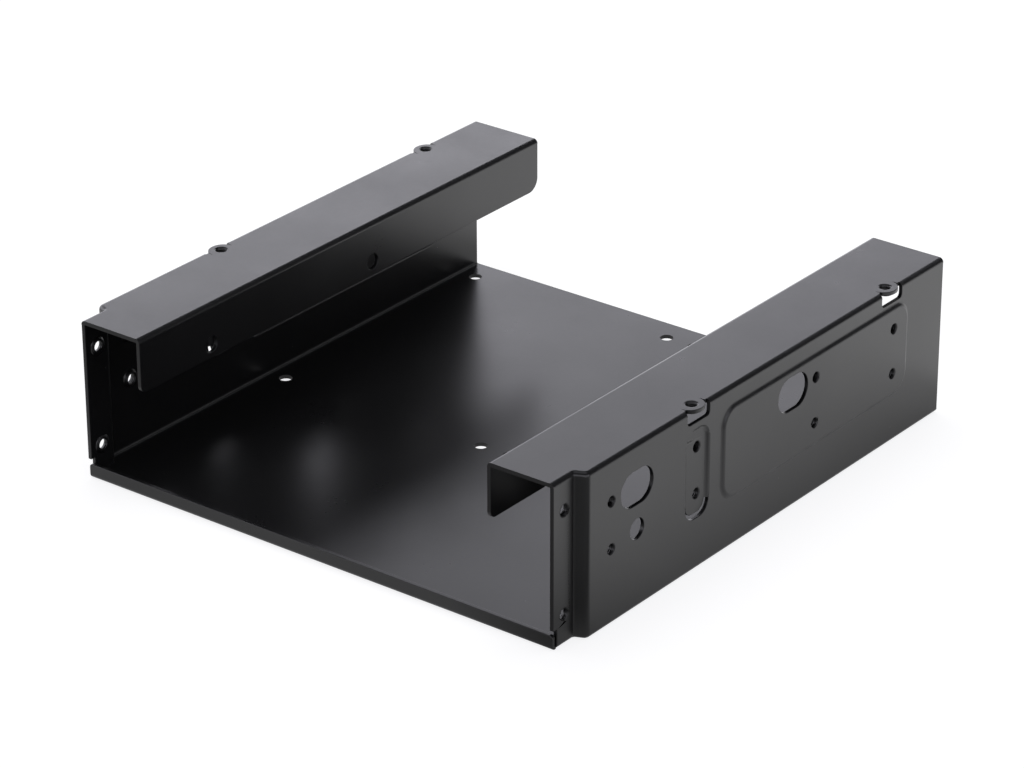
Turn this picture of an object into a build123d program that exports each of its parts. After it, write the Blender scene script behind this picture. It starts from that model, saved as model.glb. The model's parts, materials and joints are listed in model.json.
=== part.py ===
"""Hard drive tray for a half-height 5.25 inch bay, folded from one sheet of steel.

The front is at -Y, the right side wall at +X, and the floor's underside lies at Z = 0. The blank is
modelled in its members: each one ends on a flat place beside a fold, where it meets the next face to face.
"""
import os

from build123d import *

os.makedirs("parts", exist_ok=True)

# The sheet and its folds, in millimetres
sheet = 1.0
bend_inside = 0.15
bend_outside = bend_inside + sheet

# Overall sizes: over the outer faces of the side walls, front edge to rear edge, underside to top
width = 144.0
length = 152.0
height = 41.3

# The room between the inner lips for a 3.5 inch drive
drive_width = 101.6
drive_play = 0.4

# Inner lips, which hang from the flanges
lip_depth = 13.9
lip_front_radius = 1.8
lip_rear_radius = 3.5
lip_hole_radius = 2.1
lip_hole_drop = 10.4
lip_hole_from_front = 24.8
lip_hole_spacing = 60.0

# Front ends of the walls, joggled inwards to pass behind a bay's frame
front_inset = 2.8
inset_run = 7.5
joggle_run = 1.2
joggle_bend = 0.6
strip_flat = 1.6
strip_hole_radius = 1.25
strip_hole_from_front = 4.0
strip_hole_height = 7.7
strip_hole_spacing = 25.7

# Front curb, folded up from the floor, and the relief cut that frees it from the walls
curb_height = 3.8
curb_end_gap = 0.3
curb_corner_radius = 0.9
relief_margin = 0.2
relief_height = 5.0

# Side screw holes of a 5.25 inch drive, measured down from the top and back from the front edge
side_hole_radius = 1.25
side_row_upper = 10.4
side_row_lower = 22.24
side_first_pair = 17.4
side_second_pair = 50.6
side_pair_repeat = 79.25

# Flat ears in the plane of the flanges, with the base screw pattern of a 5.25 inch drive, 139.7 x 79.25
ear_hole_from_side = 2.15
ear_pattern_y = 79.25
ear_from_front = 50.25
ear_hole_radius = 1.25
ear_width = 7.2
ear_reach = 6.2
ear_end_flat = 0.2
ear_overhang = 0.8
ear_side_gap = 0.7
notch_depth = 3.6
notch_corner_radius = 1.0

# Slot pad round the second pair of screw holes, pressed inwards
pad_from_front = 50.1
pad_width = 9.0
pad_top_drop = 5.2
pad_bottom_drop = 28.0
pad_depth = 0.7
pad_taper = 45.0
pad_corner_radius = 3.4
pad_slit_width = 0.9

# Panel behind the pad, raised outwards, which carries the third and fourth pairs
panel_front = 59.3
panel_rear = 136.4
panel_top_drop = 4.6
panel_bottom_drop = 28.3
panel_raise = 0.6
panel_taper = 45.0
panel_corner_radius = 5.0

# Clearance holes through the walls: two long windows with round ends, and a small round port
window_length = 12.1
window_height = 8.6
window_drop = 10.8
window_front = 27.0
window_rear = 87.3
port_radius = 2.6
port_drop = 21.2
port_from_front = 27.1

# Floor screw holes for two 2.5 inch drives side by side, placed from the side walls and the rear edge
small_drive_pattern_x = 61.72
small_drive_pattern_y = 76.6
small_drive_from_side = 6.01
small_drive_from_rear = 7.2
floor_hole_radius = 1.7

# Places that follow from the sizes above
front = -length / 2
rear = length / 2
half_width = width / 2
lip_face = (drive_width + drive_play) / 2
inner_wall = half_width - sheet
relief_depth = bend_outside + relief_margin
strip_end = inset_run + joggle_run + strip_flat
fold_top = height - bend_outside
spare = 5.0
front_pairs = [side_first_pair, side_second_pair]
side_pairs = front_pairs + [place + side_pair_repeat for place in front_pairs]
ear_places = [front + ear_from_front, front + ear_from_front + ear_pattern_y]
ear_tip = half_width + ear_overhang
ear_root = ear_tip - ear_reach


def keep_box(low, high):
    """Keeps only what the active part has between two corners."""
    centre = [(a + b) / 2 for a, b in zip(low, high)]
    size = [b - a for a, b in zip(low, high)]
    with Locations(tuple(centre)):
        Box(*size, mode=Mode.INTERSECT)


def cut_box(low, high):
    """Cuts the space between two corners out of the active part."""
    centre = [(a + b) / 2 for a, b in zip(low, high)]
    size = [b - a for a, b in zip(low, high)]
    with Locations(tuple(centre)):
        Box(*size, mode=Mode.SUBTRACT)


def wall_plane(x):
    """A plane that looks outwards from the right wall: its own x runs back along Y, its own y up."""
    return Plane(origin=(x, 0, 0), x_dir=(0, 1, 0), z_dir=(1, 0, 0))


# Plan outline of the outer faces, with the joggle near the front
with BuildSketch() as plan:
    with BuildLine():
        Polyline(
            (0, front - spare),
            (half_width - front_inset, front - spare),
            (half_width - front_inset, front + inset_run),
            (half_width, front + inset_run + joggle_run),
            (half_width, rear + spare),
            (0, rear + spare),
        )
        mirror(about=Plane.YZ)
    make_face()
    corners = plan.vertices().filter_by_position(Axis.Y, front + inset_run - 0.01, front + inset_run + 0.01)
    fillet(corners, joggle_bend)
    shoulder = front + inset_run + joggle_run
    corners = plan.vertices().filter_by_position(Axis.Y, shoulder - 0.01, shoulder + 0.01)
    fillet(corners, joggle_bend + sheet)

# The block that the folded sheet wraps, over its outer faces
with BuildPart() as outer_form:
    add(plan.sketch)
    extrude(amount=height)
    rims = outer_form.edges().group_by(Axis.Z)
    sides = rims[0].filter_by(Axis.X, reverse=True) + rims[-1].filter_by(Axis.X, reverse=True)
    fillet(sides, bend_outside)

# The room inside it, one sheet smaller at the walls, the floor and the flanges
with BuildPart() as inner_form:
    with BuildSketch(Plane.XY.offset(sheet)):
        offset(plan.sketch, amount=-sheet, kind=Kind.INTERSECTION)
    extrude(amount=height - 2 * sheet)
    rims = inner_form.edges().group_by(Axis.Z)
    sides = rims[0].filter_by(Axis.X, reverse=True) + rims[-1].filter_by(Axis.X, reverse=True)
    fillet(sides, bend_inside)

# The folded sheet: floor, walls, flanges and lips in one, before it is divided at its folds
with BuildPart() as folded_sheet:
    add(outer_form.part)
    add(inner_form.part, mode=Mode.SUBTRACT)
    keep_box((-width, front, -spare), (width, rear, height + spare))
    cut_box((-lip_face, front - spare, height - 2 * sheet), (lip_face, rear + spare, height + spare))
    for side in (-1, 1):
        with BuildSketch(wall_plane(side * lip_face)) as lip_outline:
            with Locations((0, height - lip_depth / 2)):
                Rectangle(length, lip_depth)
            fillet(lip_outline.vertices().group_by(Axis.Y)[0].sort_by(Axis.X)[0], lip_front_radius)
            fillet(lip_outline.vertices().group_by(Axis.Y)[0].sort_by(Axis.X)[-1], lip_rear_radius)
        extrude(amount=side * sheet)
    tops = folded_sheet.edges().filter_by(Axis.Y).filter_by_position(Axis.Z, height - 0.01, height + 0.01)
    fillet(tops.filter_by(lambda edge: abs(abs(edge.center().X) - lip_face) < 0.01), bend_outside)
    ceiling = height - sheet
    under = folded_sheet.edges().filter_by(Axis.Y).filter_by_position(Axis.Z, ceiling - 0.01, ceiling + 0.01)
    fillet(under.filter_by(lambda edge: abs(abs(edge.center().X) - lip_face - sheet) < 0.01), bend_inside)
    for side in (-1, 1):
        relief = sorted((side * (half_width - front_inset - bend_outside), side * (half_width + spare)))
        cut_box((relief[0], front - spare, -spare), (relief[1], front + relief_depth, relief_height))

# Floor with the folds at its sides, and the screw holes of two small drives
with BuildPart() as floor_plate:
    add(folded_sheet.part)
    keep_box((-width, front + relief_depth, -spare), (width, rear + spare, bend_outside))
    for side in (-1, 1):
        middle = side * (half_width - small_drive_from_side - small_drive_pattern_x / 2)
        with Locations((middle, rear - small_drive_from_rear - small_drive_pattern_y / 2, sheet)):
            with GridLocations(small_drive_pattern_x, small_drive_pattern_y, 2, 2):
                Hole(floor_hole_radius)
floor_plate.part.label = "floor_plate"
export_step(floor_plate.part, "parts/floor_plate.step")

# Low curb with its fold, along the front of the floor
with BuildPart() as front_curb:
    with BuildSketch(Plane.YZ):
        with BuildLine():
            Polyline(
                (front + relief_depth, 0),
                (front, 0),
                (front, curb_height),
                (front + sheet, curb_height),
                (front + sheet, sheet),
                (front + relief_depth, sheet),
                close=True,
            )
        profile = make_face()
        fillet(profile.vertices().group_by(Axis.Y)[0].sort_by(Axis.X)[0], bend_outside)
        fillet(profile.vertices().group_by(Axis.Y)[1].sort_by(Axis.X)[0], bend_inside)
    extrude(amount=half_width - front_inset - curb_end_gap, both=True)
    ends = front_curb.edges().filter_by(Axis.Y).group_by(Axis.Z)[-1]
    fillet(ends, curb_corner_radius)
front_curb.part.label = "front_curb"
export_step(front_curb.part, "parts/front_curb.step")

# Right wall from behind the joggle to the rear edge
with BuildPart() as right_side_wall:
    add(folded_sheet.part)
    keep_box((lip_face + 2 * sheet, front + strip_end, bend_outside), (width, rear, fold_top))
    # Raised panel, with its recess on the inside
    panel_middle = (front + (panel_front + panel_rear) / 2, height - (panel_top_drop + panel_bottom_drop) / 2)
    panel_size = (panel_rear - panel_front, panel_bottom_drop - panel_top_drop)
    for face_x, panel_mode in ((half_width, Mode.ADD), (inner_wall, Mode.SUBTRACT)):
        with BuildSketch(wall_plane(face_x)):
            with Locations(panel_middle):
                RectangleRounded(*panel_size, panel_corner_radius)
        extrude(amount=panel_raise, taper=panel_taper, mode=panel_mode)
    # Pad pressed inwards, with its boss on the inside
    pad_middle = (front + pad_from_front, height - (pad_top_drop + pad_bottom_drop) / 2)
    pad_height = pad_bottom_drop - pad_top_drop
    for face_x, pad_mode in ((inner_wall, Mode.ADD), (half_width, Mode.SUBTRACT)):
        with BuildSketch(wall_plane(face_x)):
            with Locations(pad_middle):
                RectangleRounded(pad_width, pad_height, pad_corner_radius)
        extrude(amount=-pad_depth, taper=pad_taper, mode=pad_mode)
    # Slit where the pad's lower end is sheared free of the wall
    with BuildSketch(wall_plane(half_width)):
        with Locations(pad_middle):
            RectangleRounded(pad_width, pad_height, pad_corner_radius)
            RectangleRounded(
                pad_width - 2 * pad_slit_width,
                pad_height - 2 * pad_slit_width,
                pad_corner_radius - pad_slit_width,
                mode=Mode.SUBTRACT,
            )
        with Locations((pad_middle[0], pad_middle[1] - pad_height / 2)):
            Rectangle(pad_width, 2 * pad_corner_radius, mode=Mode.INTERSECT)
    extrude(amount=-(pad_depth + 2 * sheet), mode=Mode.SUBTRACT)
    # Screw holes, the long windows and the round port
    with BuildSketch(wall_plane(half_width)):
        for place in side_pairs:
            with Locations((front + place, height - side_row_upper), (front + place, height - side_row_lower)):
                Circle(side_hole_radius)
        with Locations((front + port_from_front, height - port_drop)):
            Circle(port_radius)
    extrude(amount=spare, both=True, mode=Mode.SUBTRACT)
    for place in (window_front, window_rear):
        with BuildSketch(wall_plane(half_width)):
            with Locations((front + place, height - window_drop)):
                SlotOverall(window_length, window_height)
        extrude(amount=spare, both=True, mode=Mode.SUBTRACT)
    # Notches below the screw ears
    for place in ear_places:
        with BuildSketch(wall_plane(half_width)):
            with Locations((place, height)):
                notch = Rectangle(ear_width + 2 * ear_side_gap, 2 * notch_depth)
            fillet(notch.vertices().group_by(Axis.Y)[0], notch_corner_radius)
        extrude(amount=spare, both=True, mode=Mode.SUBTRACT)
right_side_wall.part.label = "right_side_wall"
export_step(right_side_wall.part, "parts/right_side_wall.step")

# Right front strip: the joggled end of the wall, with two screw holes
with BuildPart() as right_front_strip:
    add(folded_sheet.part)
    keep_box((lip_face + 2 * sheet, front, bend_outside), (width, front + strip_end, fold_top))
    with BuildSketch(wall_plane(half_width)):
        with Locations((front + strip_hole_from_front, strip_hole_height + strip_hole_spacing / 2)):
            with GridLocations(0, strip_hole_spacing, 1, 2):
                Circle(strip_hole_radius)
    extrude(amount=2 * spare, both=True, mode=Mode.SUBTRACT)
right_front_strip.part.label = "right_front_strip"
export_step(right_front_strip.part, "parts/right_front_strip.step")

# Right flange with the folds at both its sides, open where the ears stand
with BuildPart() as right_top_flange:
    add(folded_sheet.part)
    keep_box((0, front, fold_top), (width, rear, height + spare))
    for place in ear_places:
        cut_box((ear_root, place - ear_width / 2, 0), (width, place + ear_width / 2, height + spare))
        freed = ear_width / 2 + ear_side_gap
        cut_box((half_width - bend_outside, place - freed, 0), (width, place + freed, height + spare))
right_top_flange.part.label = "right_top_flange"
export_step(right_top_flange.part, "parts/right_top_flange.step")

# Right inner lip, with two screw holes for the drive between the lips
with BuildPart() as right_inner_lip:
    add(folded_sheet.part)
    keep_box((0, front, height - lip_depth - spare), (lip_face + 2 * sheet, rear, fold_top))
    with BuildSketch(wall_plane(lip_face)):
        with Locations((front + lip_hole_from_front + lip_hole_spacing / 2, height - lip_hole_drop)):
            with GridLocations(lip_hole_spacing, 0, 2, 1):
                Circle(lip_hole_radius)
    extrude(amount=spare, both=True, mode=Mode.SUBTRACT)
right_inner_lip.part.label = "right_inner_lip"
export_step(right_inner_lip.part, "parts/right_inner_lip.step")

# Two flat ears of the right flange, each with a screw hole
right_ears = []
for name, place in zip(("right_front_ear", "right_rear_ear"), ear_places):
    with BuildPart() as ear:
        with BuildSketch(Plane.XY.offset(height - sheet)):
            with Locations(((ear_root + ear_tip) / 2, place)):
                tab = Rectangle(ear_reach, ear_width)
            fillet(tab.vertices().group_by(Axis.X)[-1], (ear_width - ear_end_flat) / 2)
            with Locations((half_width - ear_hole_from_side, place)):
                Circle(ear_hole_radius, mode=Mode.SUBTRACT)
        extrude(amount=sheet)
    ear.part.label = name
    export_step(ear.part, "parts/" + name + ".step")
    right_ears.append(ear.part)

# The left side mirrors the right
right_members = [right_side_wall.part, right_front_strip.part, right_top_flange.part, right_inner_lip.part]
for member in right_members + right_ears:
    with BuildPart() as left_member:
        mirror(member, about=Plane.YZ)
    left_member.part.label = member.label.replace("right", "left")
    export_step(left_member.part, "parts/" + left_member.part.label + ".step")
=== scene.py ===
"""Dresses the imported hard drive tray: painted steel, rounded edges, tapped holes and a studio stage."""
import json
import math

import bmesh
import bpy
from bpy.props import FloatProperty, FloatVectorProperty, IntProperty, PointerProperty
from mathutils import Matrix, Vector
from mathutils.bvhtree import BVHTree


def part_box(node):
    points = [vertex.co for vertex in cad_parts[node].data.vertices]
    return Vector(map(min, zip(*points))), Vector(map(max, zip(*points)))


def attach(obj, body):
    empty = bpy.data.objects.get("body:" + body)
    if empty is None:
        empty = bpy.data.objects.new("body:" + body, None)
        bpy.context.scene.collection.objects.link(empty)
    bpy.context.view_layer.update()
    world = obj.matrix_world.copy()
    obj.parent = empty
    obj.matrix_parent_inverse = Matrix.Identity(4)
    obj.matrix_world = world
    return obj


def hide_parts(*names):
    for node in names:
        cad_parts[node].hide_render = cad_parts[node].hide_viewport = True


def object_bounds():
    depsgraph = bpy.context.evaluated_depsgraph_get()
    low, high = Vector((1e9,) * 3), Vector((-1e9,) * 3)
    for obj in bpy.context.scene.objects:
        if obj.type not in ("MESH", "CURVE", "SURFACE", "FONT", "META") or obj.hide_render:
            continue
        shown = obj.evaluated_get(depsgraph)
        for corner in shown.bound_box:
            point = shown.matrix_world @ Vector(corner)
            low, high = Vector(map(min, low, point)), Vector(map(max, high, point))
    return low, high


bl_info = {
    "name": "Hard Drive Tray",
    "version": (1, 0, 0),
    "blender": (4, 5, 0),
    "location": "View3D > Sidebar > Tray",
    "description": "Builds the painted finish, rounded edges and tapped holes of a folded drive tray",
    "category": "Object",
}

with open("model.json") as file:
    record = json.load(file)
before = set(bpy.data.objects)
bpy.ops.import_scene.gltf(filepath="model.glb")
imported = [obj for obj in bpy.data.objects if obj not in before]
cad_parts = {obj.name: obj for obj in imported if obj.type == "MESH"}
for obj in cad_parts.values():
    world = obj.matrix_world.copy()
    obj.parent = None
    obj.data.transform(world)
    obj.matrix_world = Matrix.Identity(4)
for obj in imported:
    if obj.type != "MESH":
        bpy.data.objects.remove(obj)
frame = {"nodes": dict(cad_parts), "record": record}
CAD_LOW, CAD_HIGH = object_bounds()
BODY = "root"
MILLIMETRE = 0.001

# Inner radius of the M3 threads, which tells the record's tapped holes from its plain ones
TAPPED_RADIUS_MM = 1.25
TAPPED_RADIUS = TAPPED_RADIUS_MM * MILLIMETRE

# Footprint of the tray on the table, and a fold's depth from the sheet's outer face to its seam
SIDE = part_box("right_top_flange")[1].x
FRONT = CAD_LOW.y
REAR = CAD_HIGH.y
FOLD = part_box("front_curb")[1].y - FRONT

# Angles between two faces, in degrees, above which their edge counts as sheared or as pressed
SHEARED_ANGLE = 60.0
PRESSED_ANGLE = 30.0

COAT_IOR = 1.5


class TrayPaintSettings(bpy.types.PropertyGroup):
    """The black paint, what handling has done to it, and a painted highlight along the inner folds."""

    colour: FloatVectorProperty(
        name="Paint colour",
        description="Colour of the black powder coat",
        subtype="COLOR",
        default=(0.0070, 0.0070, 0.0078),
        min=0.0,
        max=1.0,
    )
    worn_colour: FloatVectorProperty(
        name="Worn colour",
        description="Colour of the thin coat along rounded edges",
        subtype="COLOR",
        default=(0.0140, 0.0140, 0.0150),
        min=0.0,
        max=1.0,
    )
    # Colour of the dust specks, and also of a painted highlight: a light line along the inner folds that
    # stands in for the bends' reflection
    dust_and_highlight_colour: FloatVectorProperty(
        name="Dust colour",
        description="Colour of the dust on the coat and along the folds",
        subtype="COLOR",
        default=(0.17, 0.17, 0.175),
        min=0.0,
        max=1.0,
    )
    roughness: FloatProperty(
        name="Roughness",
        description="Middle roughness of the semi-gloss coat",
        default=0.30,
        min=0.0,
        max=1.0,
        subtype="FACTOR",
    )
    peel_size: FloatProperty(
        name="Peel size",
        description="Width of one ripple in the coat's orange peel",
        default=0.0008,
        min=0.0001,
        unit="LENGTH",
    )
    peel_depth: FloatProperty(
        name="Peel depth",
        description="Height of the orange peel's ripples",
        default=0.0000008,
        min=0.0,
        unit="LENGTH",
        precision=6,
    )


class TrayEdgeSettings(bpy.types.PropertyGroup):
    """Rounding of the edges that a shear, a press or a tap leaves."""

    sheared: FloatProperty(
        name="Sheared edge",
        description="Width of the rounding along cut edges and plain holes",
        default=0.00013,
        min=0.0,
        unit="LENGTH",
    )
    pressed: FloatProperty(
        name="Pressed edge",
        description="Width of the rounding where the pad and the panel leave the wall",
        default=0.00040,
        min=0.0,
        unit="LENGTH",
    )
    wall_mouth: FloatProperty(
        name="Wall mouth",
        description="Width of the rounded mouth of the tapped holes in the walls",
        default=0.0003,
        min=0.0,
        unit="LENGTH",
    )
    end_mouth: FloatProperty(
        name="End mouth",
        description="Width of the rounded mouth of the tapped holes in the ears and the front strips",
        default=0.0005,
        min=0.0,
        unit="LENGTH",
    )
    segments: IntProperty(
        name="Segments",
        description="Facets across one rounded edge",
        default=3,
        min=1,
        max=6,
    )


class TrayThreadSettings(bpy.types.PropertyGroup):
    """Drawn collars and M3 threads of the tapped holes."""

    collar_wall: FloatProperty(
        name="Collar wall",
        description="Metal left round the bore where the collar is drawn out of the sheet",
        default=0.0007,
        min=0.0001,
        unit="LENGTH",
    )
    wall_reach: FloatProperty(
        name="Wall collar",
        description="How far the collars in the walls stand out of the sheet's inner face",
        default=0.00070,
        min=0.0001,
        unit="LENGTH",
    )
    strip_reach: FloatProperty(
        name="Strip collar",
        description="How far the collars in the front strips stand out of the sheet's inner face",
        default=0.00035,
        min=0.0001,
        unit="LENGTH",
    )
    ear_reach: FloatProperty(
        name="Ear collar",
        description="How far the collars below the ears stand out of the sheet",
        default=0.0007,
        min=0.0001,
        unit="LENGTH",
    )
    pitch: FloatProperty(
        name="Pitch",
        description="Rise of the thread in one turn",
        default=0.0005,
        min=0.0001,
        unit="LENGTH",
    )
    depth: FloatProperty(
        name="Depth",
        description="Height of the thread's crest over its root",
        default=0.00008,
        min=0.0,
        unit="LENGTH",
    )


class TrayStageSettings(bpy.types.PropertyGroup):
    """White table, soft light and the camera."""

    azimuth: FloatProperty(
        name="Azimuth",
        description="Camera's turn round the tray",
        default=math.radians(37.71),
        subtype="ANGLE",
    )
    elevation: FloatProperty(
        name="Elevation",
        description="Camera's height above the table",
        default=math.radians(25.90),
        subtype="ANGLE",
    )
    roll: FloatProperty(
        name="Roll",
        description="Camera's turn about its own axis",
        default=math.radians(-0.16),
        subtype="ANGLE",
    )
    distance: FloatProperty(
        name="Distance",
        description="Camera to the point that it circles",
        default=0.99808,
        unit="LENGTH",
    )
    rise: FloatProperty(
        name="Rise",
        description="How far the view is lowered from that point",
        default=0.0035,
        unit="LENGTH",
    )
    lens: FloatProperty(
        name="Lens",
        description="Focal length on a 36 mm wide sensor",
        default=0.14651,
        unit="LENGTH",
    )
    table_size: FloatProperty(
        name="Table size",
        description="Side of the white table",
        default=3.0,
        unit="LENGTH",
    )
    lamp_power: FloatProperty(
        name="Lamp power",
        description="Power of the large soft lamp overhead",
        default=6.0,
        unit="POWER",
    )
    sky: FloatProperty(
        name="Sky level",
        description="Even light from the white surround",
        default=0.55,
        min=0.0,
    )
    backdrop: FloatProperty(
        name="Backdrop level",
        description="Brightness of the lit backdrop in reflections, just above the table's far edge",
        default=2.9,
        min=0.0,
    )
    overhead: FloatProperty(
        name="Overhead level",
        description="Brightness of the soft box straight above in reflections",
        default=0.9,
        min=0.0,
    )


def settings():
    """The scene's groups of settings."""
    scene = bpy.context.scene
    return scene.tray_paint, scene.tray_edges, scene.tray_threads, scene.tray_stage


def link(tree, source, target):
    """Joins two sockets, each given as (node, socket name or index)."""
    tree.links.new(source[0].outputs[source[1]], target[0].inputs[target[1]])


def new_material(name):
    """A material with an empty node tree and its output."""
    material = bpy.data.materials.new(name)
    material.use_nodes = True
    tree = material.node_tree
    tree.nodes.clear()
    output = tree.nodes.new("ShaderNodeOutputMaterial")
    return material, tree, output


def noise(tree, place, size, detail=2.0, roughness=0.5):
    """Noise in the tray's own space with features of the given size in metres."""
    node = tree.nodes.new("ShaderNodeTexNoise")
    node.inputs["Scale"].default_value = 1.0 / size
    node.inputs["Detail"].default_value = detail
    node.inputs["Roughness"].default_value = roughness
    link(tree, (place, "Object"), (node, "Vector"))
    return node, "Fac"


def spread(tree, source, low, high, to_low, to_high, kind="LINEAR"):
    """Maps a factor from one range to another, clamped."""
    node = tree.nodes.new("ShaderNodeMapRange")
    node.interpolation_type = kind
    node.inputs["From Min"].default_value = low
    node.inputs["From Max"].default_value = high
    node.inputs["To Min"].default_value = to_low
    node.inputs["To Max"].default_value = to_high
    link(tree, source, (node, "Value"))
    return node, "Result"


def reckon(tree, operation, *values):
    """One step of arithmetic on sockets or plain numbers."""
    node = tree.nodes.new("ShaderNodeMath")
    node.operation = operation
    for index, value in enumerate(values):
        if isinstance(value, tuple):
            link(tree, value, (node, index))
        else:
            node.inputs[index].default_value = value
    return node, "Value"


def mixed_colour(tree, share, first, second):
    """Blends two colours, each a socket or a plain colour."""
    node = tree.nodes.new("ShaderNodeMix")
    node.data_type = "RGBA"
    link(tree, share, (node, "Factor"))
    for socket, value in ((6, first), (7, second)):
        if isinstance(value[0], bpy.types.Node):
            link(tree, value, (node, socket))
        else:
            node.inputs[socket].default_value = (*value, 1.0)
    return node, 2


def coat_bump(tree, place):
    """Orange peel of the coat with a finer grain over it."""
    paint = settings()[0]
    grain_size = paint.peel_size / 5
    grain_share = 0.10
    peel = noise(tree, place, paint.peel_size, detail=1.0, roughness=0.4)
    grain = noise(tree, place, grain_size, detail=1.0, roughness=0.5)
    height = reckon(tree, "MULTIPLY_ADD", grain, grain_share, peel)
    bump = tree.nodes.new("ShaderNodeBump")
    bump.inputs["Strength"].default_value = 1.0
    bump.inputs["Distance"].default_value = paint.peel_depth
    link(tree, height, (bump, "Height"))
    return bump, "Normal"


def painted_fold_highlight(tree, place):
    """Share of a painted highlight along the inner folds between the floor and the walls: a light line
    that stands in for the bends' reflection.
    """
    thickest = 0.80
    thinning = (0.00025, 0.00050)
    start = FRONT + 0.009
    fade = 0.002
    split = tree.nodes.new("ShaderNodeSeparateXYZ")
    link(tree, (place, "Object"), (split, "Vector"))
    # The painted highlight follows a line that lies one fold's depth in from the outer faces of wall and
    # floor
    away = reckon(tree, "SUBTRACT", reckon(tree, "ABSOLUTE", (split, "X")), SIDE - FOLD)
    above = reckon(tree, "SUBTRACT", (split, "Z"), FOLD)
    away = reckon(tree, "MULTIPLY", away, away)
    distance = reckon(tree, "SQRT", reckon(tree, "MULTIPLY_ADD", above, above, away))
    line = spread(tree, distance, *thinning, thickest, 0.0)
    behind = spread(tree, (split, "Y"), start, start + fade, 0.0, 1.0)
    return reckon(tree, "MULTIPLY", line, behind)


def painted_steel():
    """Semi-gloss black powder coat with orange peel, uneven gloss, specks of dust and a painted highlight
    along the inner folds.
    """
    found = bpy.data.materials.get("painted_steel_coat")
    if found:
        return found
    paint = settings()[0]
    material, tree, output = new_material("painted_steel_coat")
    place = tree.nodes.new("ShaderNodeTexCoord")
    shader = tree.nodes.new("ShaderNodeBsdfPrincipled")
    shader.inputs["IOR"].default_value = COAT_IOR

    smear_size = 0.035
    grain_size = 0.0012
    grain_share = 0.35
    glossiest = paint.roughness - 0.03
    dullest = paint.roughness + 0.05
    mottling = (0.45, 0.95)
    smears = noise(tree, place, smear_size, detail=4.0, roughness=0.6)
    grain = noise(tree, place, grain_size, detail=2.0, roughness=0.5)
    gloss = reckon(tree, "MULTIPLY_ADD", grain, grain_share, smears)
    rough = spread(tree, gloss, *mottling, glossiest, dullest)

    speck_spacing = 0.007
    speck_rim = (0.012, 0.020)
    dust_and_highlight_dullness = 0.4
    cells = tree.nodes.new("ShaderNodeTexVoronoi")
    cells.inputs["Scale"].default_value = 1.0 / speck_spacing
    link(tree, (place, "Object"), (cells, "Vector"))
    speck = spread(tree, (cells, "Distance"), *speck_rim, 1.0, 0.0)
    # The specks are real dust. The fold line is a painted highlight, mixed in with the same light colour
    # and made rougher the same way.
    dust_and_fold_highlight = reckon(tree, "MAXIMUM", speck, painted_fold_highlight(tree, place))
    colour = mixed_colour(tree, dust_and_fold_highlight, tuple(paint.colour), tuple(paint.dust_and_highlight_colour))
    dust_and_highlight_roughness = reckon(tree, "MULTIPLY_ADD", dust_and_fold_highlight, dust_and_highlight_dullness, rough)

    link(tree, colour, (shader, "Base Color"))
    link(tree, dust_and_highlight_roughness, (shader, "Roughness"))
    link(tree, coat_bump(tree, place), (shader, "Normal"))
    link(tree, (shader, "BSDF"), (output, "Surface"))
    return material


def worn_edge():
    """The thin coat along rounded edges, in places a little lighter and rougher."""
    found = bpy.data.materials.get("worn_edge_coat")
    if found:
        return found
    paint = settings()[0]
    material, tree, output = new_material("worn_edge_coat")
    place = tree.nodes.new("ShaderNodeTexCoord")
    shader = tree.nodes.new("ShaderNodeBsdfPrincipled")
    shader.inputs["IOR"].default_value = COAT_IOR
    patch_size = 0.006
    dullest = paint.roughness + 0.15
    lightening = (0.45, 0.7)
    dulling = (0.3, 0.7)
    patches = noise(tree, place, patch_size, detail=3.0, roughness=0.6)
    share = spread(tree, patches, *lightening, 0.0, 1.0)
    rough = spread(tree, patches, *dulling, paint.roughness, dullest)
    colour = mixed_colour(tree, share, tuple(paint.colour), tuple(paint.worn_colour))
    link(tree, colour, (shader, "Base Color"))
    link(tree, rough, (shader, "Roughness"))
    link(tree, (shader, "BSDF"), (output, "Surface"))
    return material


def screw_patterns():
    """Every tapped hole of the record as (centre, way out of the sheet, way along the sheet)."""
    holes = []
    for mount in frame["record"]["mounts"]:
        dims = mount["dims"]
        if dims.get("hole_r_mm") != TAPPED_RADIUS_MM:
            continue
        outward = Vector(mount["axis"])
        upright = abs(outward.x) > 0.5
        first = Vector((0, 1, 0)) if upright else Vector((1, 0, 0))
        second = Vector((0, 0, 1)) if upright else Vector((0, 1, 0))
        run = dims.get("spacing_x_mm", 0.0) * MILLIMETRE / 2
        rise = dims.get("spacing_y_mm", 0.0) * MILLIMETRE / 2
        for along in (-run, run) if run else (0.0,):
            for across in (-rise, rise) if rise else (0.0,):
                centre = Vector(mount["pos_m"]) + first * along + second * across
                holes.append((centre, outward, second))
    return holes


def tapped_holes(node_name):
    """Tapped holes of one node as (outer centre, inner centre, way out), on the sheet's own faces."""
    mesh = frame["nodes"][node_name].data
    points = [vertex.co for vertex in mesh.vertices]
    tree = BVHTree.FromPolygons(points, [face.vertices for face in mesh.polygons])
    low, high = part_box(node_name)
    margin = Vector((0.002, 0.0, 0.0))
    beside = 0.0017
    clear = 0.008
    found = []
    # Rays that start clear of the sheet meet its two faces a little beside each hole
    for centre, outward, along in screw_patterns():
        limits = zip(low - margin, centre, high + margin)
        if any(not least <= place <= most for least, place, most in limits):
            continue
        start = centre + along * beside
        outer = tree.ray_cast(start + outward * clear, -outward)[0]
        inner = tree.ray_cast(start - outward * clear, outward)[0]
        found.append((outer - along * beside, inner - along * beside, outward))
    return found


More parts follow.
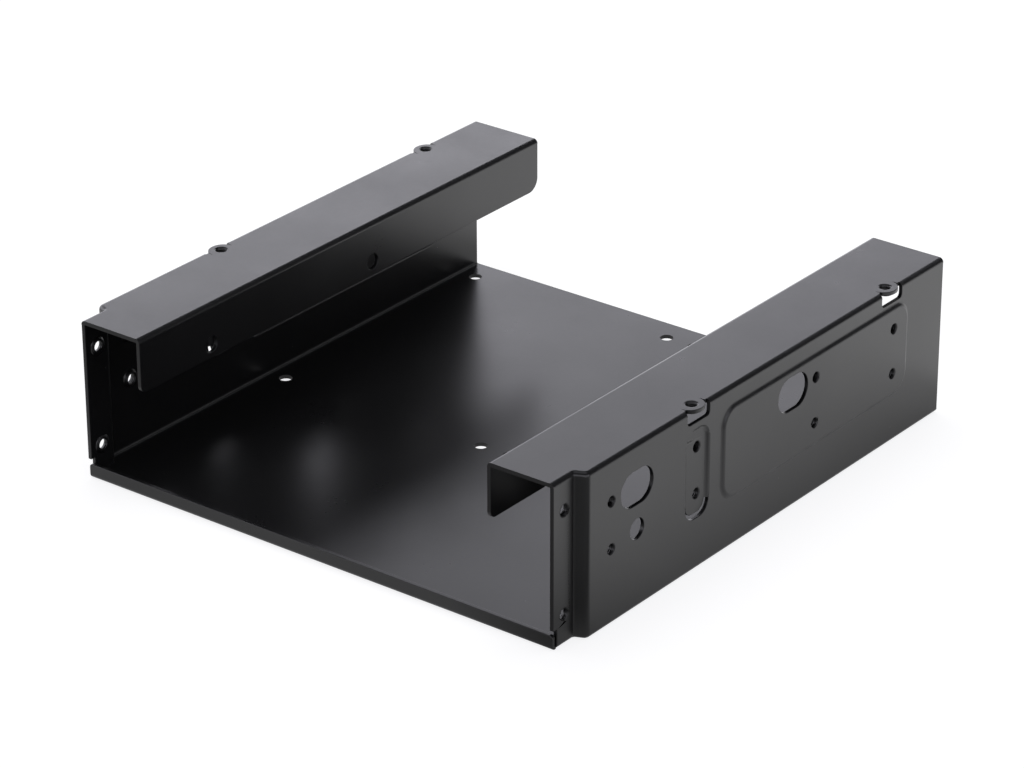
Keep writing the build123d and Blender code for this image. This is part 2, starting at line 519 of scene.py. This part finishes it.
def on_mouth(edge, holes):
    """Whether an edge is part of the outer rim of a tapped hole."""
    slack = 0.00004
    for outer, inner, outward in holes:
        away = [vertex.co - outer for vertex in edge.verts]
        if any(abs(step.dot(outward)) > slack for step in away):
            continue
        spokes = [step - outward * step.dot(outward) for step in away]
        if all(abs(spoke.length - TAPPED_RADIUS) < slack for spoke in spokes):
            return True
    return False


def neighbours_tree(name):
    """A search tree over the faces of every other node of the frame."""
    points = []
    faces = []
    for other, node in frame["nodes"].items():
        if other == name:
            continue
        start = len(points)
        points.extend(vertex.co.copy() for vertex in node.data.vertices)
        faces.extend([start + index for index in face.vertices] for face in node.data.polygons)
    return BVHTree.FromPolygons(points, faces)


def lies_against(tree, face):
    """Whether a face of a member touches the next member, so that its rim is no real edge."""
    near_enough = 0.00002
    parallel_enough = 0.99
    spot, normal, _, distance = tree.find_nearest(face.calc_center_median())
    if spot is None or distance >= near_enough:
        return False
    return abs(normal.dot(face.normal)) > parallel_enough


def edge_rounding(edge, holes, mouth):
    """Width of the rounding that an edge of the sheet gets."""
    edges = settings()[1]
    narrowest = 0.0004
    angle = math.degrees(edge.calc_face_angle(0.0))
    if on_mouth(edge, holes):
        return mouth
    if min(face.calc_area() for face in edge.link_faces) / edge.calc_length() < narrowest:
        return 0.0
    if angle > SHEARED_ANGLE:
        return edges.sheared
    return edges.pressed if angle > PRESSED_ANGLE else 0.0


def member_piece(node_name, piece_name, mouth=0.0):
    """A member of the folded sheet with rounded edges, left sharp where it runs on into the next one."""
    edges = settings()[1]
    same_place = 0.000002
    flat_angle = math.radians(0.4)
    sharp_angle = math.radians(28.0)
    mesh = frame["nodes"][node_name].data.copy()
    mesh.name = piece_name
    work = bmesh.new()
    work.from_mesh(mesh)
    bmesh.ops.remove_doubles(work, verts=work.verts, dist=same_place)
    bmesh.ops.dissolve_limit(work, angle_limit=flat_angle, verts=work.verts, edges=work.edges)
    work.normal_update()
    tree = neighbours_tree(node_name)
    holes = tapped_holes(node_name) if mouth else []
    seams = {face.index for face in work.faces if lies_against(tree, face)}
    weights = work.edges.layers.float.new("bevel_weight_edge")
    widest = max(edges.sheared, edges.pressed, mouth)
    for edge in work.edges:
        if len(edge.link_faces) == 2 and not any(face.index in seams for face in edge.link_faces):
            edge[weights] = edge_rounding(edge, holes, mouth) / widest
    for face in work.faces:
        face.smooth = True
    work.to_mesh(mesh)
    work.free()
    mesh.materials.clear()
    mesh.materials.append(painted_steel())
    mesh.materials.append(worn_edge())
    mesh.set_sharp_from_angle(angle=sharp_angle)
    piece = bpy.data.objects.new(piece_name, mesh)
    bpy.context.scene.collection.objects.link(piece)
    rounding = piece.modifiers.new("rounded_edges", "BEVEL")
    rounding.limit_method = "WEIGHT"
    rounding.width = widest
    rounding.segments = edges.segments
    rounding.miter_outer = "MITER_ARC"
    rounding.use_clamp_overlap = not mouth
    # The second material, the worn coat, covers the rounded edges
    rounding.material = 1
    shading = piece.modifiers.new("flat_shading", "WEIGHTED_NORMAL")
    shading.keep_sharp = True
    shading.weight = 100
    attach(piece, BODY)
    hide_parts(node_name)


def collar_profile(reach, depth):
    """Rings of a collar as (radius, place along the bore, share of the thread), round its wall."""
    thread = settings()[2]
    # The threads stand a hair inside the sheet's own bore, and the collar's foot a hair inside the sheet
    hair = 0.000002
    bore = TAPPED_RADIUS - hair
    wall = bore + thread.collar_wall
    fillet = 0.0005
    sunk = 0.00003
    rim = 0.0002
    steps_in_a_turn = 8
    runout = 0.25
    # From the sheet up the collar's outside, over its rim and into the bore
    rings = [
        (wall + fillet, -sunk, 0),
        (wall + 0.4 * fillet, 0.16 * fillet, 0),
        (wall + 0.1 * fillet, 0.44 * fillet, 0),
        (wall, reach - 0.7 * rim, 0),
        (wall - 0.3 * rim, reach - 0.2 * rim, 0),
        (wall - rim, reach, 0),
        (bore + rim, reach, 0),
        (bore + 0.25 * rim, reach - 0.3 * rim, 0),
    ]
    top = reach - 0.6 * rim
    steps = math.ceil((top + depth) / thread.pitch * steps_in_a_turn)
    for step in range(steps + 1):
        along = top - (top + depth) * step / steps
        fade = min(1.0, step / steps / runout, (steps - step) / steps / runout)
        rings.append((bore, along, fade))
    return rings


def collar_piece(node_name, piece_name, reach, mouth):
    """Collars drawn out of the sheet round one member's tapped holes, with threads in their bores."""
    thread = settings()[2]
    around = 28
    work = bmesh.new()
    for outer, inner, outward in tapped_holes(node_name):
        first = outward.orthogonal().normalized()
        second = outward.cross(first)
        depth = (outer - inner).length - mouth
        loops = []
        for radius, along, threaded in collar_profile(reach, depth):
            loop = []
            for step in range(around):
                turn = step / around
                phase = 2 * math.pi * (along / thread.pitch - turn)
                reached = radius - threaded * thread.depth * (0.5 + 0.5 * math.cos(phase))
                angle = 2 * math.pi * turn
                spoke = first * math.cos(angle) + second * math.sin(angle)
                loop.append(work.verts.new(inner - outward * along + spoke * reached))
            loops.append(loop)
        for near, far in zip(loops, loops[1:] + loops[:1]):
            for step in range(around):
                ahead = (step + 1) % around
                work.faces.new((near[step], near[ahead], far[ahead], far[step]))
    bmesh.ops.recalc_face_normals(work, faces=work.faces)
    for face in work.faces:
        face.smooth = True
    mesh = bpy.data.meshes.new(piece_name)
    work.to_mesh(mesh)
    work.free()
    mesh.materials.append(painted_steel())
    piece = bpy.data.objects.new(piece_name, mesh)
    bpy.context.scene.collection.objects.link(piece)
    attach(piece, BODY)


class TRAY_OT_floor(bpy.types.Operator):
    """Finishes the floor with its side folds."""

    bl_idname = "tray.floor"
    bl_label = "Floor"

    def execute(self, context):
        member_piece("floor_plate", "tray_floor")
        return {"FINISHED"}


class TRAY_OT_curb(bpy.types.Operator):
    """Finishes the low curb along the front."""

    bl_idname = "tray.curb"
    bl_label = "Front curb"

    def execute(self, context):
        member_piece("front_curb", "tray_curb")
        return {"FINISHED"}


class TRAY_OT_walls(bpy.types.Operator):
    """Finishes the side walls with their pad, panel, windows and tapped holes."""

    bl_idname = "tray.walls"
    bl_label = "Side walls"

    def execute(self, context):
        edges, thread = settings()[1:3]
        for side in ("right", "left"):
            node = side + "_side_wall"
            member_piece(node, side + "_wall", edges.wall_mouth)
            collar_piece(node, side + "_wall_threads", thread.wall_reach, edges.wall_mouth)
        return {"FINISHED"}


class TRAY_OT_strips(bpy.types.Operator):
    """Finishes the joggled front strips of the walls with their tapped holes."""

    bl_idname = "tray.strips"
    bl_label = "Front strips"

    def execute(self, context):
        edges, thread = settings()[1:3]
        for side in ("right", "left"):
            node = side + "_front_strip"
            member_piece(node, side + "_strip", edges.end_mouth)
            collar_piece(node, side + "_strip_threads", thread.strip_reach, edges.end_mouth)
        return {"FINISHED"}


class TRAY_OT_flanges(bpy.types.Operator):
    """Finishes the top flanges."""

    bl_idname = "tray.flanges"
    bl_label = "Top flanges"

    def execute(self, context):
        for side in ("right", "left"):
            member_piece(side + "_top_flange", side + "_flange")
        return {"FINISHED"}


class TRAY_OT_lips(bpy.types.Operator):
    """Finishes the inner lips."""

    bl_idname = "tray.lips"
    bl_label = "Inner lips"

    def execute(self, context):
        for side in ("right", "left"):
            member_piece(side + "_inner_lip", side + "_lip")
        return {"FINISHED"}


class TRAY_OT_ears(bpy.types.Operator):
    """Finishes the four flat screw ears with their tapped holes."""

    bl_idname = "tray.ears"
    bl_label = "Screw ears"

    def execute(self, context):
        edges, thread = settings()[1:3]
        for side in ("right", "left"):
            for end in ("front", "rear"):
                node = side + "_" + end + "_ear"
                member_piece(node, side + "_" + end + "_screw_ear", edges.end_mouth)
                collar_piece(node, side + "_" + end + "_ear_threads", thread.ear_reach, edges.end_mouth)
        return {"FINISHED"}


class TRAY_OT_stage(bpy.types.Operator):
    """Sets the white table, the soft light and the camera."""

    bl_idname = "tray.stage"
    bl_label = "Stage"

    def execute(self, context):
        table()
        surround()
        lamp()
        camera()
        context.scene.view_settings.view_transform = "Standard"
        return {"FINISHED"}


def seen_rays(tree):
    """The light path's node, and a value of one where the camera, a reflection or a clear body looks."""
    path = tree.nodes.new("ShaderNodeLightPath")
    seen = reckon(tree, "MAXIMUM", (path, "Is Camera Ray"), (path, "Is Glossy Ray"))
    return path, reckon(tree, "MAXIMUM", seen, (path, "Is Transmission Ray"))


def table_glow(tree):
    """Brightness of the lit table in reflections: shaded beside the walls, dark off the front right."""
    shadow = 0.48
    shadow_side = (SIDE, SIDE + 0.034)
    shadow_front = (FRONT + 0.004, FRONT + 0.022)
    shadow_rear = (REAR, REAR + 0.020)
    front_fall = (-0.118, -0.030)
    rear_rise = (0.060, 0.120)
    front_level, middle_level, rear_gain = 0.28, 1.00, 0.34
    dark_start = (0.097, 0.117)
    dark_end = (0.130, 0.150)
    dark_level, far_level = 0.06, 0.32
    place = tree.nodes.new("ShaderNodeTexCoord")
    split = tree.nodes.new("ShaderNodeSeparateXYZ")
    link(tree, (place, "Object"), (split, "Vector"))
    across = reckon(tree, "ABSOLUTE", (split, "X"))
    shade = spread(tree, across, *shadow_side, shadow, 1.0)
    beyond_front = spread(tree, (split, "Y"), *shadow_front, 1.0, 0.0)
    beyond_rear = spread(tree, (split, "Y"), *shadow_rear, 0.0, 1.0)
    open_side = reckon(tree, "MAXIMUM", beyond_front, beyond_rear)
    shade = reckon(tree, "MAXIMUM", shade, open_side)
    fall = spread(tree, (split, "Y"), *front_fall, front_level, middle_level)
    rise = spread(tree, (split, "Y"), *rear_rise, 0.0, rear_gain)
    lit = reckon(tree, "MULTIPLY", shade, reckon(tree, "ADD", fall, rise))
    half_across = reckon(tree, "MULTIPLY", (split, "X"), 0.5)
    forward = reckon(tree, "MULTIPLY_ADD", (split, "Y"), -1.0, half_across)
    dim = spread(tree, forward, *dark_start, 1.0, dark_level)
    beyond = spread(tree, forward, *dark_end, 0.0, far_level)
    return reckon(tree, "MULTIPLY", lit, reckon(tree, "ADD", dim, beyond))


def table():
    """A white table that keeps the tray's soft shadow."""
    stage = settings()[3]
    half = stage.table_size / 2
    below_tray = 0.00005
    shown_level = 0.84
    top_colour = (0.26, 0.26, 0.26, 1.0)
    glow_colour = (0.985, 0.985, 1.0, 1.0)
    mesh = bpy.data.meshes.new("white_table")
    corners = [(-half, -half, 0), (half, -half, 0), (half, half, 0), (-half, half, 0)]
    mesh.from_pydata([Vector(corner) for corner in corners], [], [(0, 1, 2, 3)])
    piece = bpy.data.objects.new("white_table", mesh)
    piece.location.z = -below_tray
    bpy.context.scene.collection.objects.link(piece)
    material, tree, output = new_material("white_table_top")
    diffuse = tree.nodes.new("ShaderNodeBsdfDiffuse")
    diffuse.inputs["Color"].default_value = top_colour
    glow = tree.nodes.new("ShaderNodeEmission")
    glow.inputs["Color"].default_value = glow_colour
    path, seen = seen_rays(tree)
    reflected = reckon(tree, "MULTIPLY", table_glow(tree), (path, "Is Glossy Ray"))
    shown = reckon(tree, "SUBTRACT", seen, (path, "Is Glossy Ray"))
    strength = reckon(tree, "MULTIPLY_ADD", shown, shown_level, reflected)
    link(tree, strength, (glow, "Strength"))
    total = tree.nodes.new("ShaderNodeAddShader")
    link(tree, (diffuse, "BSDF"), (total, 0))
    link(tree, (glow, "Emission"), (total, 1))
    link(tree, (total, "Shader"), (output, "Surface"))
    mesh.materials.append(material)


def sky_glow(tree):
    """Brightness of the surround in reflections: a backdrop lit low down, dark to the right rear."""
    stage = settings()[3]
    top_edge = (math.sin(math.radians(21.5)), math.sin(math.radians(33.0)))
    dark_level = 0.03
    left_turn = (-0.62, -0.46)
    left_gain, right_gain = 1.14, 0.81
    dark_way = Vector((0.62, 0.78, 0.0))
    dark_turn = (0.72, 0.86)
    gap_level = 0.06
    horizon_band = (0.12, 0.30)
    horizon_level = 0.45
    overhead_edge = (0.88, 0.97)
    place = tree.nodes.new("ShaderNodeTexCoord")
    split = tree.nodes.new("ShaderNodeSeparateXYZ")
    link(tree, (place, "Generated"), (split, "Vector"))
    height = (split, "Z")
    backdrop = spread(tree, height, *top_edge, stage.backdrop, dark_level, "SMOOTHSTEP")
    leftward = spread(tree, (split, "X"), *left_turn, left_gain, right_gain)
    along = reckon(tree, "MULTIPLY", (split, "X"), dark_way.x)
    along = reckon(tree, "MULTIPLY_ADD", (split, "Y"), dark_way.y, along)
    gap = spread(tree, along, *dark_turn, 1.0, gap_level)
    horizon = spread(tree, height, *horizon_band, horizon_level, 1.0)
    low_part = reckon(tree, "MULTIPLY", reckon(tree, "MULTIPLY", backdrop, leftward), gap)
    low_part = reckon(tree, "MULTIPLY", low_part, horizon)
    above = spread(tree, height, *overhead_edge, 0.0, stage.overhead)
    return reckon(tree, "ADD", low_part, above)


def surround():
    """White for the camera, an even light on the tray, and the lit backdrop in its gloss."""
    stage = settings()[3]
    white = (1.0, 1.0, 1.0)
    cool_white = (0.985, 0.98, 1.06)
    world = bpy.data.worlds.new("white_surround")
    bpy.context.scene.world = world
    world.use_nodes = True
    tree = world.node_tree
    tree.nodes.clear()
    output = tree.nodes.new("ShaderNodeOutputWorld")
    path, seen = seen_rays(tree)
    glossy = (path, "Is Glossy Ray")
    shown = reckon(tree, "SUBTRACT", seen, glossy)
    unseen = reckon(tree, "SUBTRACT", 1.0, seen)
    strength = reckon(tree, "MULTIPLY_ADD", unseen, stage.sky, shown)
    strength = reckon(tree, "ADD", strength, reckon(tree, "MULTIPLY", sky_glow(tree), glossy))
    background = tree.nodes.new("ShaderNodeBackground")
    colour = mixed_colour(tree, glossy, white, cool_white)
    link(tree, colour, (background, "Color"))
    link(tree, strength, (background, "Strength"))
    link(tree, (background, "Background"), (output, "Surface"))


def lamp():
    """A large soft lamp overhead, which leaves the gloss to the surround."""
    stage = settings()[3]
    data = bpy.data.lights.new("overhead_lamp", "AREA")
    data.shape = "SQUARE"
    data.size = 1.0
    data.energy = stage.lamp_power
    holder = bpy.data.objects.new("overhead_lamp", data)
    holder.location = (-0.2, 0.2, 1.2)
    tray_middle = Vector((0.0, 0.0, 0.02))
    aim = tray_middle - holder.location
    holder.rotation_euler = aim.to_track_quat("-Z", "Y").to_euler()
    holder.visible_glossy = False
    bpy.context.scene.collection.objects.link(holder)


def camera():
    """The photograph's view: a long lens that looks down at the tray's front right corner."""
    stage = settings()[3]
    level = math.cos(stage.elevation)
    raised = math.sin(stage.elevation)
    back = Vector((math.sin(stage.azimuth) * level, -math.cos(stage.azimuth) * level, raised))
    right = Vector((0.0, 0.0, 1.0)).cross(back).normalized()
    up = back.cross(right)
    turn = Matrix.Rotation(stage.roll, 3, back)
    right = turn @ right
    up = turn @ up
    centre = Vector((0.0, -0.001, 0.020))
    data = bpy.data.cameras.new("photo_camera")
    data.sensor_width = 36.0
    data.lens = stage.lens / MILLIMETRE
    data.clip_start = 0.05
    data.clip_end = 20.0
    holder = bpy.data.objects.new("photo_camera", data)
    turned = Matrix((right, up, back)).transposed().to_4x4()
    turned.translation = centre + back * stage.distance - up * stage.rise
    holder.matrix_world = turned
    bpy.context.scene.collection.objects.link(holder)
    bpy.context.scene.camera = holder


class TRAY_PT_panel(bpy.types.Panel):
    """Lists the tray's pieces and the stage in the sidebar."""

    bl_label = "Hard Drive Tray"
    bl_idname = "TRAY_PT_panel"
    bl_space_type = "VIEW_3D"
    bl_region_type = "UI"
    bl_category = "Tray"

    def draw(self, context):
        for operator in OPERATORS:
            self.layout.operator(operator.bl_idname)
        for group in settings():
            column = self.layout.column()
            for name in group.bl_rna.properties.keys():
                if name not in ("rna_type", "name"):
                    column.prop(group, name)


GROUPS = {
    "tray_paint": TrayPaintSettings,
    "tray_edges": TrayEdgeSettings,
    "tray_threads": TrayThreadSettings,
    "tray_stage": TrayStageSettings,
}
OPERATORS = (
    TRAY_OT_stage,
    TRAY_OT_floor,
    TRAY_OT_curb,
    TRAY_OT_walls,
    TRAY_OT_strips,
    TRAY_OT_flanges,
    TRAY_OT_lips,
    TRAY_OT_ears,
)


def register():
    for name, group in GROUPS.items():
        bpy.utils.register_class(group)
        setattr(bpy.types.Scene, name, PointerProperty(type=group))
    for operator in OPERATORS:
        bpy.utils.register_class(operator)
    bpy.utils.register_class(TRAY_PT_panel)


def unregister():
    bpy.utils.unregister_class(TRAY_PT_panel)
    for operator in reversed(OPERATORS):
        bpy.utils.unregister_class(operator)
    for name, group in GROUPS.items():
        delattr(bpy.types.Scene, name)
        bpy.utils.unregister_class(group)


def main():
    register()
    bpy.ops.tray.stage()
    bpy.ops.tray.floor()
    bpy.ops.tray.curb()
    bpy.ops.tray.walls()
    bpy.ops.tray.strips()
    bpy.ops.tray.flanges()
    bpy.ops.tray.lips()
    bpy.ops.tray.ears()


if __name__ == "__main__":
    main()
